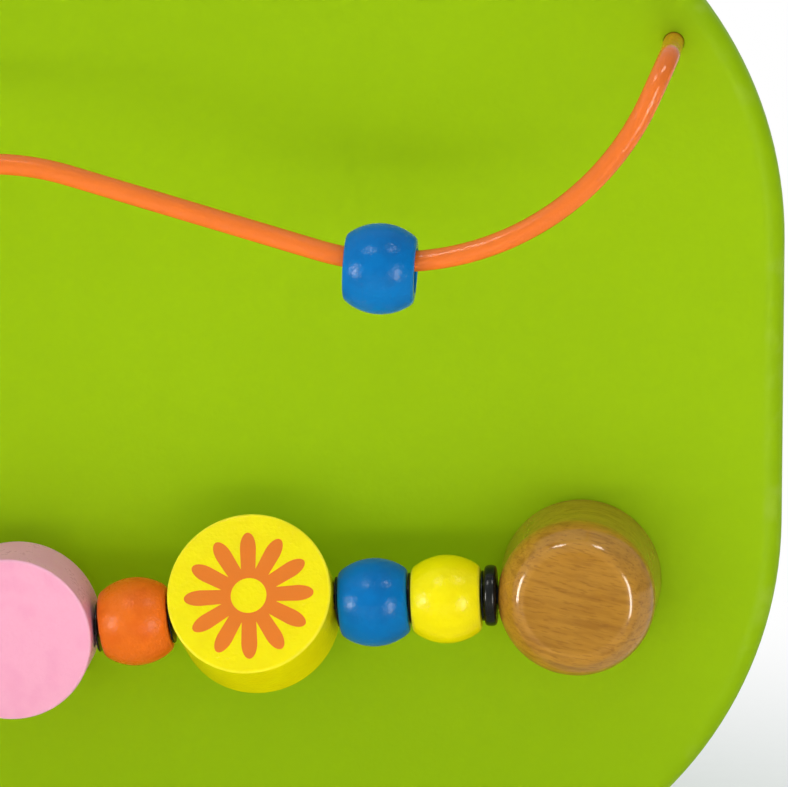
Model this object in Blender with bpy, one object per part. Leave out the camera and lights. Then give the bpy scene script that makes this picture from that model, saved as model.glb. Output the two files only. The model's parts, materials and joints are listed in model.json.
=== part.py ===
"""Wall activity board for small children.

A green board carries a row of turned beads and discs, threaded on a cord between two posts,
and above the row a bent wire on which two more beads slide. Metres, +Z up. The origin is the
middle of the board's back face, which lies against the wall; the front looks along -Y.
"""

import math

import bmesh
import bpy
from mathutils import Matrix, Vector

for old_object in list(bpy.data.objects):
    bpy.data.objects.remove(old_object)

MM = 0.001
SIDES = (("left", -1), ("right", 1))

# Fits: between resting pieces, round a piece in its hole, below a surface, past a cut face
SEAT_GAP = 0.2 * MM
RADIAL_GAP = 0.3 * MM
FLUSH_DEPTH = 0.3 * MM
CUT_PAST = 2 * MM

# Board, which follows the row and the wire's feet by these margins
BOARD_THICKNESS = 12 * MM
BOARD_CORNER = 75 * MM
BOARD_FRONT_EDGE = 4 * MM
BOARD_BACK_EDGE = 1.2 * MM
POST_TO_SIDE = 22.5 * MM
FOOT_TO_SIDE = 21 * MM
FOOT_TO_CORNER = 9 * MM
ROW_TO_LOWER_EDGE = 35 * MM

# Posts
POST_ABOVE_CORD = 9 * MM
POST_BASE_RADIUS = 15.2 * MM
POST_SHOULDER_RADIUS = 14.6 * MM
POST_SHOULDER_DROP = 4.8 * MM
POST_SHOULDER_ROUND = 2 * MM
POST_TOP_RADIUS = 10.9 * MM
POST_TOP_ROUND = 1 * MM
POST_BASE_CHAMFER = 0.5 * MM

# Cord and the row of pieces on it
ROW_Z = -37.2 * MM
ROW_GAP = 0.15 * MM
ROW_CENTRE_GAP = 0.45 * MM
CORD_DIAMETER = 3 * MM
CORD_DROP = 8.4 * MM
CORD_DROP_POWER = 2.1
CORD_DROP_ROUNDING = 0.15
FIT_ROUNDS = 8
BEAD_DIAMETER = 16.5 * MM
BEAD_LENGTH = 12.9 * MM
BEAD_CROWN_RADIUS = 9.8 * MM
BEAD_PLAY = 0.7 * MM
BEAD_HANG = BEAD_PLAY - SEAT_GAP
DISC_DIAMETER = 30.7 * MM
DISC_THICKNESS = 15 * MM
DISC_EDGE_ROUND = 0.6 * MM
DISC_PLAY = 0.25 * MM
DISC_TO_BOARD = 1.6 * MM
FLOWER_DISC_TURN = 26
FLOWER_DISC_LIFT = 1 * MM
ORANGE_BEAD_LIFT = 0.2 * MM
CENTRE_DISC_TURN = -4
WASHER_DIAMETER = 9.4 * MM
WASHER_THICKNESS = 0.35 * MM
WASHER_ROUND = 0.1 * MM
STOP_RING_DIAMETER = 11.4 * MM
STOP_RING_THICKNESS = 2.3 * MM
STOP_RING_ROUND = 0.7 * MM

# Ferrules that hold the cord's ends inside the posts
FERRULE_WALL = 1.2 * MM
FERRULE_LENGTH = 9 * MM
FERRULE_SETBACK = 3 * MM

# Bent wire and its beads
WIRE_DIAMETER = 4 * MM
WIRE_HEIGHT = 40 * MM
WIRE_BEND_RADIUS = 50 * MM
WIRE_SLOPE = 16.25
WIRE_END_ANGLE = 66
WIRE_FOOT_BEND = 8 * MM
WIRE_HOLE_DEPTH = 9 * MM
VALLEY_Z = 27.25 * MM
WIRE_BEAD_PLAY = 2 * MM
WIRE_BEAD_ANGLE = -3

# Screws
POST_SCREW_SHANK = 4 * MM
POST_SCREW_HEAD = 8 * MM
POST_SCREW_GRIP = 12 * MM
HANGER_SCREW_SHANK = 2.4 * MM
HANGER_SCREW_HEAD = 4.6 * MM
HANGER_SCREW_LENGTH = 8 * MM
SCREW_POINT_LENGTH = 3 * MM

# Keyhole hangers
HANGER_X = 80 * MM
HANGER_Z = 62 * MM
HANGER_WIDTH = 16 * MM
HANGER_HEIGHT = 40 * MM
HANGER_THICKNESS = 1.5 * MM
HANGER_CORNER = 4 * MM
HANGER_SCREW_SPACING = 31 * MM
KEYHOLE_ENTRY = 9.5 * MM
KEYHOLE_SLOT = 5 * MM
KEYHOLE_RISE = 9 * MM
KEYHOLE_ENTRY_Z = -4.5 * MM
POCKET_MARGIN = 1.4 * MM
POCKET_DEPTH = 8 * MM

# Facets: steps round each turned piece and along each rounded edge or bend
BEAD_STEPS = 20
CROWN_STEPS = 6
DISC_STEPS = 30
POST_STEPS = 30
SMALL_STEPS = 14
EDGE_STEPS = 2
BOARD_CORNER_STEPS = 14
BOARD_FRONT_STEPS = 4
BOARD_BACK_STEPS = 2
PLATE_CORNER_STEPS = 4
KEYHOLE_STEPS = 14
WIRE_STEP_ANGLE = 5.5
WIRE_FOOT_STEPS = 6
WIRE_RESOLUTION = 3
CORD_STEPS = 14
CORD_RESOLUTION = 2
SMOOTH_ANGLE = math.radians(35)

# Worked out from the sizes above
DISC_SWEEP = DISC_EDGE_ROUND + math.hypot(
    DISC_DIAMETER / 2 - DISC_EDGE_ROUND, DISC_THICKNESS / 2 - DISC_EDGE_ROUND
)
CORD_HEIGHT = DISC_SWEEP + DISC_TO_BOARD
POST_HEIGHT = CORD_HEIGHT + POST_ABOVE_CORD
FRONT_Y = -BOARD_THICKNESS
CORD_Y = FRONT_Y - CORD_HEIGHT
WIRE_Y = FRONT_Y - WIRE_HEIGHT
FLUSH_Y = -FLUSH_DEPTH
CORD_HOLE_RADIUS = CORD_DIAMETER / 2 + RADIAL_GAP
FERRULE_RADIUS = CORD_HOLE_RADIUS + FERRULE_WALL
POST_SCREW_LENGTH = BOARD_THICKNESS + SEAT_GAP + POST_SCREW_GRIP - FLUSH_DEPTH
AXIS_TO_FRONT = Matrix.Rotation(math.radians(90), 4, "X")
AXIS_TO_BACK = Matrix.Rotation(math.radians(-90), 4, "X")
AXIS_TO_RIGHT = Matrix.Rotation(math.radians(90), 4, "Y")


# Materials


def finish(name, colour, roughness, metallic=0.0):
    material = bpy.data.materials.new(name)
    material.use_nodes = True
    shader = material.node_tree.nodes["Principled BSDF"]
    shader.inputs["Base Color"].default_value = (*colour, 1.0)
    shader.inputs["Roughness"].default_value = roughness
    shader.inputs["Metallic"].default_value = metallic
    return material


GREEN_LACQUER = finish("green_lacquer", (0.32, 0.53, 0.005), 0.45)
ORANGE_LACQUER = finish("orange_lacquer", (0.83, 0.16, 0.015), 0.35)
BLUE_LACQUER = finish("blue_lacquer", (0.002, 0.16, 0.47), 0.35)
YELLOW_LACQUER = finish("yellow_lacquer", (0.9, 0.78, 0.003), 0.35)
PINK_LACQUER = finish("pink_lacquer", (0.87, 0.3, 0.5), 0.35)
VARNISHED_WOOD = finish("varnished_wood", (0.42, 0.21, 0.04), 0.25)
ORANGE_COATING = finish("orange_coating", (0.85, 0.17, 0.02), 0.3)
BLACK_RUBBER = finish("black_rubber", (0.012, 0.012, 0.012), 0.5)
BLACK_CORD = finish("black_cord", (0.012, 0.012, 0.012), 0.7)
PLATED_STEEL = finish("plated_steel", (0.6, 0.58, 0.54), 0.35, 1.0)
BRASS = finish("brass", (0.7, 0.5, 0.2), 0.35, 1.0)


# Shapes


def arc(centre, radius, start, end, count):
    """Points along a circular arc, both ends included, with angles in degrees."""
    points = []
    for i in range(count + 1):
        angle = math.radians(start + (end - start) * i / count)
        points.append((centre[0] + radius * math.cos(angle), centre[1] + radius * math.sin(angle)))
    return points


def fillet(before, corner, after, radius, steps):
    """Points that round the corner between two straight stretches of a profile."""
    corner = Vector(corner)
    back = (Vector(before) - corner).normalized()
    onward = (Vector(after) - corner).normalized()
    half_angle = back.angle(onward) / 2
    centre = corner + (back + onward).normalized() * radius / math.sin(half_angle)
    start = corner + back * radius / math.tan(half_angle) - centre
    end = corner + onward * radius / math.tan(half_angle) - centre
    angles = [math.degrees(math.atan2(spoke.y, spoke.x)) for spoke in (start, end)]
    return arc(centre, radius, *angles, steps)


def rounded_rectangle(width, height, corner, steps):
    """Outline of a rectangle with round corners, anticlockwise about the origin."""
    x = width / 2 - corner
    z = height / 2 - corner
    outline = []
    for i, centre in enumerate(((x, z), (-x, z), (-x, -z), (x, -z))):
        outline += arc(centre, corner, 90 * i, 90 * (i + 1), steps)
    return outline


def add_object(name, builder, material=None):
    """Turns a bmesh into a named object, shaded smooth where its faces meet softly."""
    bmesh.ops.remove_doubles(builder, verts=builder.verts, dist=0.001 * MM)
    bmesh.ops.recalc_face_normals(builder, faces=builder.faces)
    mesh = bpy.data.meshes.new(name)
    builder.to_mesh(mesh)
    builder.free()
    mesh.shade_smooth()
    mesh.set_sharp_from_angle(angle=SMOOTH_ANGLE)
    obj = bpy.data.objects.new(name, mesh)
    bpy.context.scene.collection.objects.link(obj)
    if material:
        mesh.materials.append(material)
    return obj


def turned(name, profile, steps, material=None):
    """Solid turned about its local Z axis from (radius, height) points.

    A profile that starts and ends on the axis is a full solid; any other is a ring.
    """
    builder = bmesh.new()
    points = [builder.verts.new((radius, 0, height)) for radius, height in profile]
    edges = [builder.edges.new(pair) for pair in zip(points, points[1:])]
    if profile[0][0] > 0:
        edges.append(builder.edges.new((points[-1], points[0])))
    bmesh.ops.spin(
        builder, geom=points + edges, cent=(0, 0, 0), axis=(0, 0, 1), angle=math.tau, steps=steps
    )
    return add_object(name, builder, material)


def plate_mesh(outline, depth):
    """Plate with the given (x, z) outline, from y = 0 to y = depth."""
    builder = bmesh.new()
    face = builder.faces.new([builder.verts.new((x, 0, z)) for x, z in outline])
    raised = bmesh.ops.extrude_face_region(builder, geom=[face])["geom"]
    lifted = [item for item in raised if isinstance(item, bmesh.types.BMVert)]
    bmesh.ops.translate(builder, verts=lifted, vec=(0, depth, 0))
    return builder


def tube(name, points, diameter, resolution, material):
    """Round bar along a list of points, with closed ends."""
    curve = bpy.data.curves.new(name, "CURVE")
    curve.dimensions = "3D"
    curve.bevel_depth = diameter / 2
    curve.bevel_resolution = resolution
    curve.use_fill_caps = True
    spline = curve.splines.new("POLY")
    spline.points.add(len(points) - 1)
    for spot, point in zip(spline.points, points):
        spot.co = (*point, 1)
    curve.materials.append(material)
    obj = bpy.data.objects.new(name, curve)
    bpy.context.scene.collection.objects.link(obj)
    return obj


def place(obj, position, turn=None, parent=None):
    obj.parent = parent
    obj.matrix_local = Matrix.Translation(position) @ (turn or Matrix.Identity(4))
    return obj


def add_pivot(name, position):
    pivot = bpy.data.objects.new(name, None)
    bpy.context.scene.collection.objects.link(pivot)
    return place(pivot, position)


def cut(target, cutter):
    """Takes the cutter's shape out of the target."""
    cutter.hide_render = True
    cutter.display_type = "WIRE"
    modifier = target.modifiers.new("cut_" + cutter.name, "BOOLEAN")
    modifier.operation = "DIFFERENCE"
    modifier.solver = "EXACT"
    modifier.object = cutter


def bore_cutter(name, radius, start, end):
    """Cutter for a round hole along local Z, from one height to another."""
    return turned(name, [(0, end), (radius, end), (radius, start), (0, start)], SMALL_STEPS)


def mirrored(point, side):
    return Vector((point.x * side, point.y, point.z))


# Line of the cord and the places of the pieces on it


def post_radius_at(height):
    """The post tapers evenly from its base to its shoulder."""
    share = height / (POST_HEIGHT - POST_SHOULDER_DROP)
    return POST_BASE_RADIUS + (POST_SHOULDER_RADIUS - POST_BASE_RADIUS) * share


POST_ENTRY_RADIUS = post_radius_at(CORD_HEIGHT)
# How far the post's tapered side leans over the stop ring, beyond where the cord enters it
STOP_RING_REACH = (STOP_RING_DIAMETER - STOP_RING_ROUND) / 2
POST_LEAN = abs(post_radius_at(CORD_HEIGHT - STOP_RING_REACH) - POST_ENTRY_RADIUS)


def cord_drop(share):
    """How far the cord hangs below its ends, at a share of the way from the middle to a post."""
    soft = CORD_DROP_ROUNDING
    along = (math.hypot(share, soft) - soft) / (math.hypot(1, soft) - soft)
    return CORD_DROP * max(0.0, 1 - along) ** CORD_DROP_POWER


class CordLine:
    """The cord from the middle of the row to one post, measured along its length."""

    SAMPLES = 30 * CORD_STEPS

    def __init__(self, post_x):
        self.post_x = post_x
        self.points = []
        self.lengths = [0.0]
        for i in range(self.SAMPLES + 1):
            share = i / self.SAMPLES
            self.points.append(Vector((share * post_x, CORD_Y, ROW_Z - cord_drop(share))))
        for before, after in zip(self.points, self.points[1:]):
            self.lengths.append(self.lengths[-1] + (after - before).length)

    def at(self, distance):
        """The point at this distance along the cord."""
        i = next(k for k, length in enumerate(self.lengths) if length > distance)
        share = (distance - self.lengths[i - 1]) / (self.lengths[i] - self.lengths[i - 1])
        return self.points[i - 1].lerp(self.points[i], share)

    def seat(self, start, end):
        """Middle and slope of the straight bore that best fits the cord between two distances."""
        first, middle, last = (self.at(distance) for distance in (start, (start + end) / 2, end))
        step = last - first
        return (first + 4 * middle + last) / 6, math.atan2(step.z, step.x)


def row_spans():
    """(kind, start, end) along the cord of each piece outwards from the centre disc."""
    lengths = {"flower_disc": DISC_DIAMETER, "stop_ring": STOP_RING_THICKNESS}
    spans = []
    reach = DISC_DIAMETER / 2
    for kind in ("orange_bead", "flower_disc", "blue_bead", "yellow_bead", "stop_ring"):
        gap = ROW_GAP if spans else ROW_CENTRE_GAP
        for piece, length in (
            (f"{kind}_washer", WASHER_THICKNESS),
            (kind, lengths.get(kind, BEAD_LENGTH)),
        ):
            spans.append((piece, reach + gap, reach + gap + length))
            reach += gap + length
    return spans


def lay_out_row():
    """The cord's line, and (kind, place, slope) of each piece on its right half.

    The posts stand where the last piece ends, so their place follows the pieces' lengths, in a
    few rounds because the cord's line depends on it too. A washer leans halfway between its two
    neighbours.
    """
    spans = row_spans()
    reach = spans[-1][2] + max(ROW_GAP, POST_LEAN)
    line = CordLine(reach + POST_ENTRY_RADIUS)
    for _ in range(FIT_ROUNDS):
        line = CordLine(line.at(reach).x + POST_ENTRY_RADIUS)
    seats = [line.seat(start, end) for _, start, end in spans]
    slopes = [slope for _, slope in seats]
    placed = []
    for i, (kind, _, _) in enumerate(spans):
        slope = slopes[i]
        if kind.endswith("washer"):
            inner = slopes[i - 1] if i else 0.0
            slope = (inner + slopes[i + 1]) / 2
        placed.append((kind, seats[i][0], slope))
    return line, placed


CORD_LINE, ROW_PLACES = lay_out_row()
POST_X = CORD_LINE.post_x
CENTRE_RISE = CORD_LINE.at(DISC_DIAMETER / 2).z - CORD_LINE.points[0].z
CENTRE_LIFT = CENTRE_RISE / 3
CORD_BOW = max(CENTRE_RISE - CENTRE_LIFT, FLOWER_DISC_LIFT)
DISC_BORE_RADIUS = CORD_DIAMETER / 2 + CORD_BOW + DISC_PLAY


# Line of the wire, and the board that carries it

HALF_WIDTH = POST_X + POST_BASE_RADIUS + POST_TO_SIDE
END_ANGLE = math.radians(WIRE_END_ANGLE)
FOOT_X = HALF_WIDTH - FOOT_TO_SIDE
VALLEY_X = FOOT_X - WIRE_BEND_RADIUS * math.sin(END_ANGLE) - WIRE_FOOT_BEND * math.cos(END_ANGLE)


def wire_half():
    """Points of the wire's right half, from its crest in the middle to its foot in the board."""
    slope = math.radians(WIRE_SLOPE)
    radius = WIRE_BEND_RADIUS
    run = (VALLEY_X - 2 * radius * math.sin(slope)) / math.cos(slope)
    crest_z = VALLEY_Z + 2 * radius * (1 - math.cos(slope)) + run * math.sin(slope)
    crest_steps = round(WIRE_SLOPE / WIRE_STEP_ANGLE)
    valley_steps = round((WIRE_SLOPE + WIRE_END_ANGLE) / WIRE_STEP_ANGLE)
    crest = arc((0, crest_z - radius), radius, 90, 90 - WIRE_SLOPE, crest_steps)
    valley = arc(
        (VALLEY_X, VALLEY_Z + radius), radius, 270 - WIRE_SLOPE, 270 + WIRE_END_ANGLE, valley_steps
    )
    points = [Vector((x, WIRE_Y, z)) for x, z in crest + valley]
    bend_start = points[-1]
    onward = Vector((math.cos(END_ANGLE), 0, math.sin(END_ANGLE)))
    inward = Vector((0, 1, 0))
    for across, along in arc((0, 0), WIRE_FOOT_BEND, 0, 90, WIRE_FOOT_STEPS)[1:]:
        points.append(bend_start + onward * along + inward * (WIRE_FOOT_BEND - across))
    foot = points[-1].copy()
    foot.y = FRONT_Y + WIRE_HOLE_DEPTH
    return points + [foot]


WIRE_POINTS = wire_half()
FOOT_END = WIRE_POINTS[-1]


def board_half_height():
    """Room for the wire's feet inside the round corners, and for the discs below the row."""
    across = FOOT_X - (HALF_WIDTH - BOARD_CORNER)
    corner_z = FOOT_END.z - math.sqrt((BOARD_CORNER - FOOT_TO_CORNER) ** 2 - across**2)
    row_bottom = ROW_Z - CORD_DROP - DISC_DIAMETER / 2
    return max(corner_z + BOARD_CORNER, ROW_TO_LOWER_EDGE - row_bottom)


HALF_HEIGHT = board_half_height()


# Board and what fastens to it


def make_board():
    outline = rounded_rectangle(2 * HALF_WIDTH, 2 * HALF_HEIGHT, BOARD_CORNER, BOARD_CORNER_STEPS)
    builder = plate_mesh(outline, FRONT_Y)
    edges = ((FRONT_Y, BOARD_FRONT_EDGE, BOARD_FRONT_STEPS), (0, BOARD_BACK_EDGE, BOARD_BACK_STEPS))
    for y, soft, segments in edges:
        rim = [e for e in builder.edges if all(abs(v.co.y - y) < SEAT_GAP for v in e.verts)]
        bmesh.ops.bevel(
            builder, geom=rim, offset=soft, segments=segments, profile=0.5, affect="EDGES"
        )
    board = add_object("base_board", builder, GREEN_LACQUER)
    for word, side in SIDES:
        socket = bore_cutter(
            f"wire_socket_{word}", WIRE_DIAMETER / 2 + RADIAL_GAP, -SEAT_GAP, WIRE_HEIGHT
        )
        place(socket, mirrored(FOOT_END, side), AXIS_TO_FRONT)
        cut(board, socket)
    return board


def fasten(name, spot, shank, head, length, targets):
    """Countersunk screw driven from the back, with its hole in each piece that it goes through."""
    cone = (head - shank) / 2
    body = length - SCREW_POINT_LENGTH
    profile = [(0, 0), (head / 2, 0), (shank / 2, -cone), (shank / 2, -body), (0, -length)]
    screw = turned(name, profile, SMALL_STEPS, PLATED_STEEL)
    place(screw, spot, AXIS_TO_BACK)
    around = RADIAL_GAP
    clear = [
        (0, CUT_PAST),
        (head / 2 + around, CUT_PAST),
        (head / 2 + around, 0),
        (shank / 2 + around, -cone),
        (shank / 2 + around, -length - around),
        (0, -length - around),
    ]
    hole = turned(name + "_hole", clear, SMALL_STEPS)
    place(hole, spot, AXIS_TO_BACK)
    for target in targets:
        cut(target, hole)


def make_posts(board):
    centre = (0, POST_HEIGHT)
    rim = (POST_TOP_RADIUS, POST_HEIGHT)
    shoulder = (POST_SHOULDER_RADIUS, POST_HEIGHT - POST_SHOULDER_DROP)
    foot = (POST_BASE_RADIUS, POST_BASE_CHAMFER)
    profile = [
        centre,
        *fillet(centre, rim, shoulder, POST_TOP_ROUND, EDGE_STEPS),
        *fillet(rim, shoulder, foot, POST_SHOULDER_ROUND, EDGE_STEPS),
        foot,
        (POST_BASE_RADIUS - POST_BASE_CHAMFER, 0),
        (0, 0),
    ]
    bore_end = POST_ENTRY_RADIUS - FERRULE_SETBACK - FERRULE_LENGTH - SEAT_GAP
    for word, side in SIDES:
        post = turned("post_" + word, profile, POST_STEPS, VARNISHED_WOOD)
        facing = Matrix.Rotation(0 if side > 0 else math.pi, 4, "Z")
        place(post, (POST_X * side, FRONT_Y - SEAT_GAP, ROW_Z), AXIS_TO_FRONT @ facing)
        bore = bore_cutter(
            f"post_{word}_bore", FERRULE_RADIUS + RADIAL_GAP, -POST_ENTRY_RADIUS - CUT_PAST, -bore_end
        )
        place(bore, (0, 0, CORD_HEIGHT - SEAT_GAP), AXIS_TO_RIGHT, post)
        cut(post, bore)
        fasten(
            "post_screw_" + word,
            (POST_X * side, FLUSH_Y, ROW_Z),
            POST_SCREW_SHANK,
            POST_SCREW_HEAD,
            POST_SCREW_LENGTH,
            (board, post),
        )


def keyhole_outline():
    """Round entry with a narrower slot rising from it, about the entry's centre."""
    entry = KEYHOLE_ENTRY / 2
    slot = KEYHOLE_SLOT / 2
    meet = math.degrees(math.acos(slot / entry))
    slot_end = arc((0, KEYHOLE_RISE), slot, 0, 180, KEYHOLE_STEPS // 2)
    return slot_end + arc((0, 0), entry, 180 - meet, 360 + meet, KEYHOLE_STEPS)


def make_hangers(board):
    """Steel keyhole plates let into the back of the board, each held by two screws."""
    steps = PLATE_CORNER_STEPS
    around = 2 * RADIAL_GAP
    outline = rounded_rectangle(HANGER_WIDTH, HANGER_HEIGHT, HANGER_CORNER, steps)
    seat = rounded_rectangle(
        HANGER_WIDTH + around, HANGER_HEIGHT + around, HANGER_CORNER + RADIAL_GAP, steps
    )
    seat_depth = FLUSH_DEPTH + HANGER_THICKNESS + SEAT_GAP
    pocket_width = KEYHOLE_ENTRY + 2 * POCKET_MARGIN
    pocket = rounded_rectangle(pocket_width, pocket_width + KEYHOLE_RISE, KEYHOLE_ENTRY / 2, steps)
    for word, side in SIDES:
        middle = Vector((HANGER_X * side, 0, HANGER_Z))
        surface = middle + Vector((0, CUT_PAST, 0))
        entry = surface + Vector((0, 0, KEYHOLE_ENTRY_Z))
        slot_middle = entry + Vector((0, 0, KEYHOLE_RISE / 2))
        plate = add_object(
            f"hanger_plate_{word}", plate_mesh(outline, -HANGER_THICKNESS), PLATED_STEEL
        )
        place(plate, middle + Vector((0, FLUSH_Y, 0)))
        cutters = (
            (plate, "keyhole", keyhole_outline(), seat_depth + CUT_PAST, entry),
            (board, "seat", seat, seat_depth, surface),
            (board, "pocket", pocket, POCKET_DEPTH, slot_middle),
        )
        for target, use, shape, depth, spot in cutters:
            cutter = add_object(f"hanger_{use}_{word}", plate_mesh(shape, -CUT_PAST - depth))
            place(cutter, spot)
            cut(target, cutter)
        for end, sign in (("upper", 1), ("lower", -1)):
            fasten(
                f"hanger_screw_{word}_{end}",
                middle + Vector((0, 2 * FLUSH_Y, sign * HANGER_SCREW_SPACING / 2)),
                HANGER_SCREW_SHANK,
                HANGER_SCREW_HEAD,
                HANGER_SCREW_LENGTH,
                (plate, board),
            )


# Row of beads and discs


def bead(name, bore_radius, material):
    """Turned bead with a crowned side, flat ends and a bore along local Z."""
    half = BEAD_LENGTH / 2
    lean = math.degrees(math.asin(half / BEAD_CROWN_RADIUS))
    centre = (BEAD_DIAMETER / 2 - BEAD_CROWN_RADIUS, 0)
    crown = arc(centre, BEAD_CROWN_RADIUS, lean, -lean, CROWN_STEPS)
    return turned(name, [*crown, (bore_radius, -half), (bore_radius, half)], BEAD_STEPS, material)


def soft_rim(radius, half, soft):
    """Outer side of a turned piece, from its upper to its lower face, with rounded edges."""
    upper = arc((radius - soft, half - soft), soft, 90, 0, EDGE_STEPS)
    lower = arc((radius - soft, soft - half), soft, 0, -90, EDGE_STEPS)
    return upper + lower


def disc(name, material):
    """Thick round disc about local Z, bored through its rim along local X."""
    radius = DISC_DIAMETER / 2
    half = DISC_THICKNESS / 2
    profile = [(0, half), *soft_rim(radius, half, DISC_EDGE_ROUND), (0, -half)]
    body = turned(name, profile, DISC_STEPS, material)
    reach = radius + CUT_PAST
    bore = bore_cutter(name + "_bore", DISC_BORE_RADIUS, -reach, reach)
    place(bore, (0, 0, 0), AXIS_TO_RIGHT, body)
    cut(body, bore)
    return body


def ring(name, outer, thickness, soft):
    """Rubber ring on the cord, about local Z, with rounded outer edges."""
    half = thickness / 2
    profile = [*soft_rim(outer, half, soft), (CORD_HOLE_RADIUS, -half), (CORD_HOLE_RADIUS, half)]
    return turned(name, profile, SMALL_STEPS, BLACK_RUBBER)


def make_cord():
    """Cord through the whole row, and the ferrules that hold its ends inside the posts."""
    entry_x = POST_X - POST_ENTRY_RADIUS
    end_x = entry_x + FERRULE_SETBACK + FERRULE_LENGTH - SEAT_GAP
    half = [CORD_LINE.points[CORD_LINE.SAMPLES * i // CORD_STEPS] for i in range(CORD_STEPS)]
    half = [point for point in half if point.x < entry_x]
    half += [Vector((x, CORD_Y, ROW_Z)) for x in (entry_x + FERRULE_SETBACK, end_x)]
    tube(
        "bead_cord",
        [mirrored(point, -1) for point in half[:0:-1]] + half,
        CORD_DIAMETER,
        CORD_RESOLUTION,
        BLACK_CORD,
    )
    middle_x = entry_x + FERRULE_SETBACK + FERRULE_LENGTH / 2
    half_length = FERRULE_LENGTH / 2
    profile = [
        (FERRULE_RADIUS, half_length),
        (FERRULE_RADIUS, -half_length),
        (CORD_HOLE_RADIUS, -half_length),
        (CORD_HOLE_RADIUS, half_length),
    ]
    for word, side in SIDES:
        ferrule = turned("cord_ferrule_" + word, profile, SMALL_STEPS, BRASS)
        place(ferrule, (middle_x * side, CORD_Y, ROW_Z), AXIS_TO_RIGHT)


def face_front(turn):
    """Turn that points a disc's face to the front, tipped up by some degrees about the cord."""
    return Matrix.Rotation(math.radians(90 - turn), 4, "X")


def make_row_piece(kind, name):
    if kind.endswith("washer"):
        return ring(name, WASHER_DIAMETER / 2, WASHER_THICKNESS, WASHER_ROUND)
    if kind == "stop_ring":
        return ring(name, STOP_RING_DIAMETER / 2, STOP_RING_THICKNESS, STOP_RING_ROUND)
    if kind == "flower_disc":
        return disc(name, YELLOW_LACQUER)
    paint = {"orange_bead": ORANGE_LACQUER, "blue_bead": BLUE_LACQUER, "yellow_bead": YELLOW_LACQUER}
    return bead(name, CORD_DIAMETER / 2 + BEAD_PLAY, paint[kind])


def lift_on_cord(kind):
    """How far a piece's middle sits above the cord: most beads hang, but two kinds ride high."""
    lifts = {"flower_disc": FLOWER_DISC_LIFT, "orange_bead": ORANGE_BEAD_LIFT}
    return lifts.get(kind, -BEAD_HANG if kind.endswith("bead") else 0.0)


def make_row():
    centre = disc("centre_disc", PINK_LACQUER)
    lifted = CORD_LINE.points[0] + Vector((0, 0, CENTRE_LIFT))
    place(centre, lifted, face_front(CENTRE_DISC_TURN))
    for word, side in SIDES:
        for kind, spot, slope in ROW_PLACES:
            piece = make_row_piece(kind, f"{kind}_{word}")
            lean = Matrix.Rotation(-slope * side, 4, "Y")
            turn = face_front(FLOWER_DISC_TURN) if kind == "flower_disc" else AXIS_TO_RIGHT
            lifted = lean @ Vector((0, 0, lift_on_cord(kind)))
            place(piece, mirrored(spot, side) + lifted, lean @ turn)


# Wire and the beads that slide in its valleys


def make_wire():
    points = [mirrored(point, -1) for point in WIRE_POINTS[:0:-1]] + WIRE_POINTS
    tube("bead_wire", points, WIRE_DIAMETER, WIRE_RESOLUTION, ORANGE_COATING)
    bow = BEAD_LENGTH**2 / (8 * WIRE_BEND_RADIUS)
    hang = WIRE_BEAD_PLAY - bow - SEAT_GAP
    bore_radius = WIRE_DIAMETER / 2 + WIRE_BEAD_PLAY
    for word, side in SIDES:
        centre = Vector((VALLEY_X * side, WIRE_Y, VALLEY_Z + WIRE_BEND_RADIUS))
        pivot = add_pivot("wire_bead_pivot_" + word, centre)
        piece = bead("wire_bead_" + word, bore_radius, BLUE_LACQUER)
        swing = Matrix.Rotation(-math.radians(WIRE_BEAD_ANGLE) * side, 4, "Y")
        place(piece, swing @ Vector((0, 0, -WIRE_BEND_RADIUS - hang)), swing @ AXIS_TO_RIGHT, pivot)


def main():
    board = make_board()
    make_posts(board)
    make_hangers(board)
    make_cord()
    make_row()
    make_wire()


main()
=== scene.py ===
# %% [markdown]
# # A wall activity board
#
# The board hangs on a nursery wall. Turned beads and discs spin on a cord between two wooden
# posts, and two more beads slide along a bent wire above them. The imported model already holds
# every piece at its true place and size. This lesson gives each one its finer shape and finish.

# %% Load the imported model
import json
import math

import bmesh
import bpy
import numpy as np
from mathutils import Matrix, Vector


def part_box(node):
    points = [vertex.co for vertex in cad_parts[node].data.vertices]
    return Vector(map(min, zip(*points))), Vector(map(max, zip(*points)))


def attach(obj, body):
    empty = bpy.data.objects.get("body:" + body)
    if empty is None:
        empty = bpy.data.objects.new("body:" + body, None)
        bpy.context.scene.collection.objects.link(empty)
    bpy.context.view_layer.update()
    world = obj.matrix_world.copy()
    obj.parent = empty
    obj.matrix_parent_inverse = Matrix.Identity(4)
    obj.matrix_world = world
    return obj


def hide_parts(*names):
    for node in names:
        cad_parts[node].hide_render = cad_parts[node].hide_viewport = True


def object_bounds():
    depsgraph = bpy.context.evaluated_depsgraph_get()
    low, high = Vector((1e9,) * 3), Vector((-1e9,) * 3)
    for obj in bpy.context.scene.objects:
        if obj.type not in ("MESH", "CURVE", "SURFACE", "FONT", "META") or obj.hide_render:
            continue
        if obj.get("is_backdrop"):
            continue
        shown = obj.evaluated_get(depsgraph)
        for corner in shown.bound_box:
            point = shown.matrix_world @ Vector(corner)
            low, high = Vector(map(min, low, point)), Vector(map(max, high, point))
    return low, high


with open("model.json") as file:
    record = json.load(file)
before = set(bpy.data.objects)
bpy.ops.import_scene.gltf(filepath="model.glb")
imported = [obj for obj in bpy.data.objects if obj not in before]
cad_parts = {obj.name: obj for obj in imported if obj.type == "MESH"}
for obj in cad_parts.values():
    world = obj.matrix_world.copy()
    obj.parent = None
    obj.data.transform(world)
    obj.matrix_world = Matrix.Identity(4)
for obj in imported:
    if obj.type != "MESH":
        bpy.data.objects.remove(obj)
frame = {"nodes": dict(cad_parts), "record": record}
cad_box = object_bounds()

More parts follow.
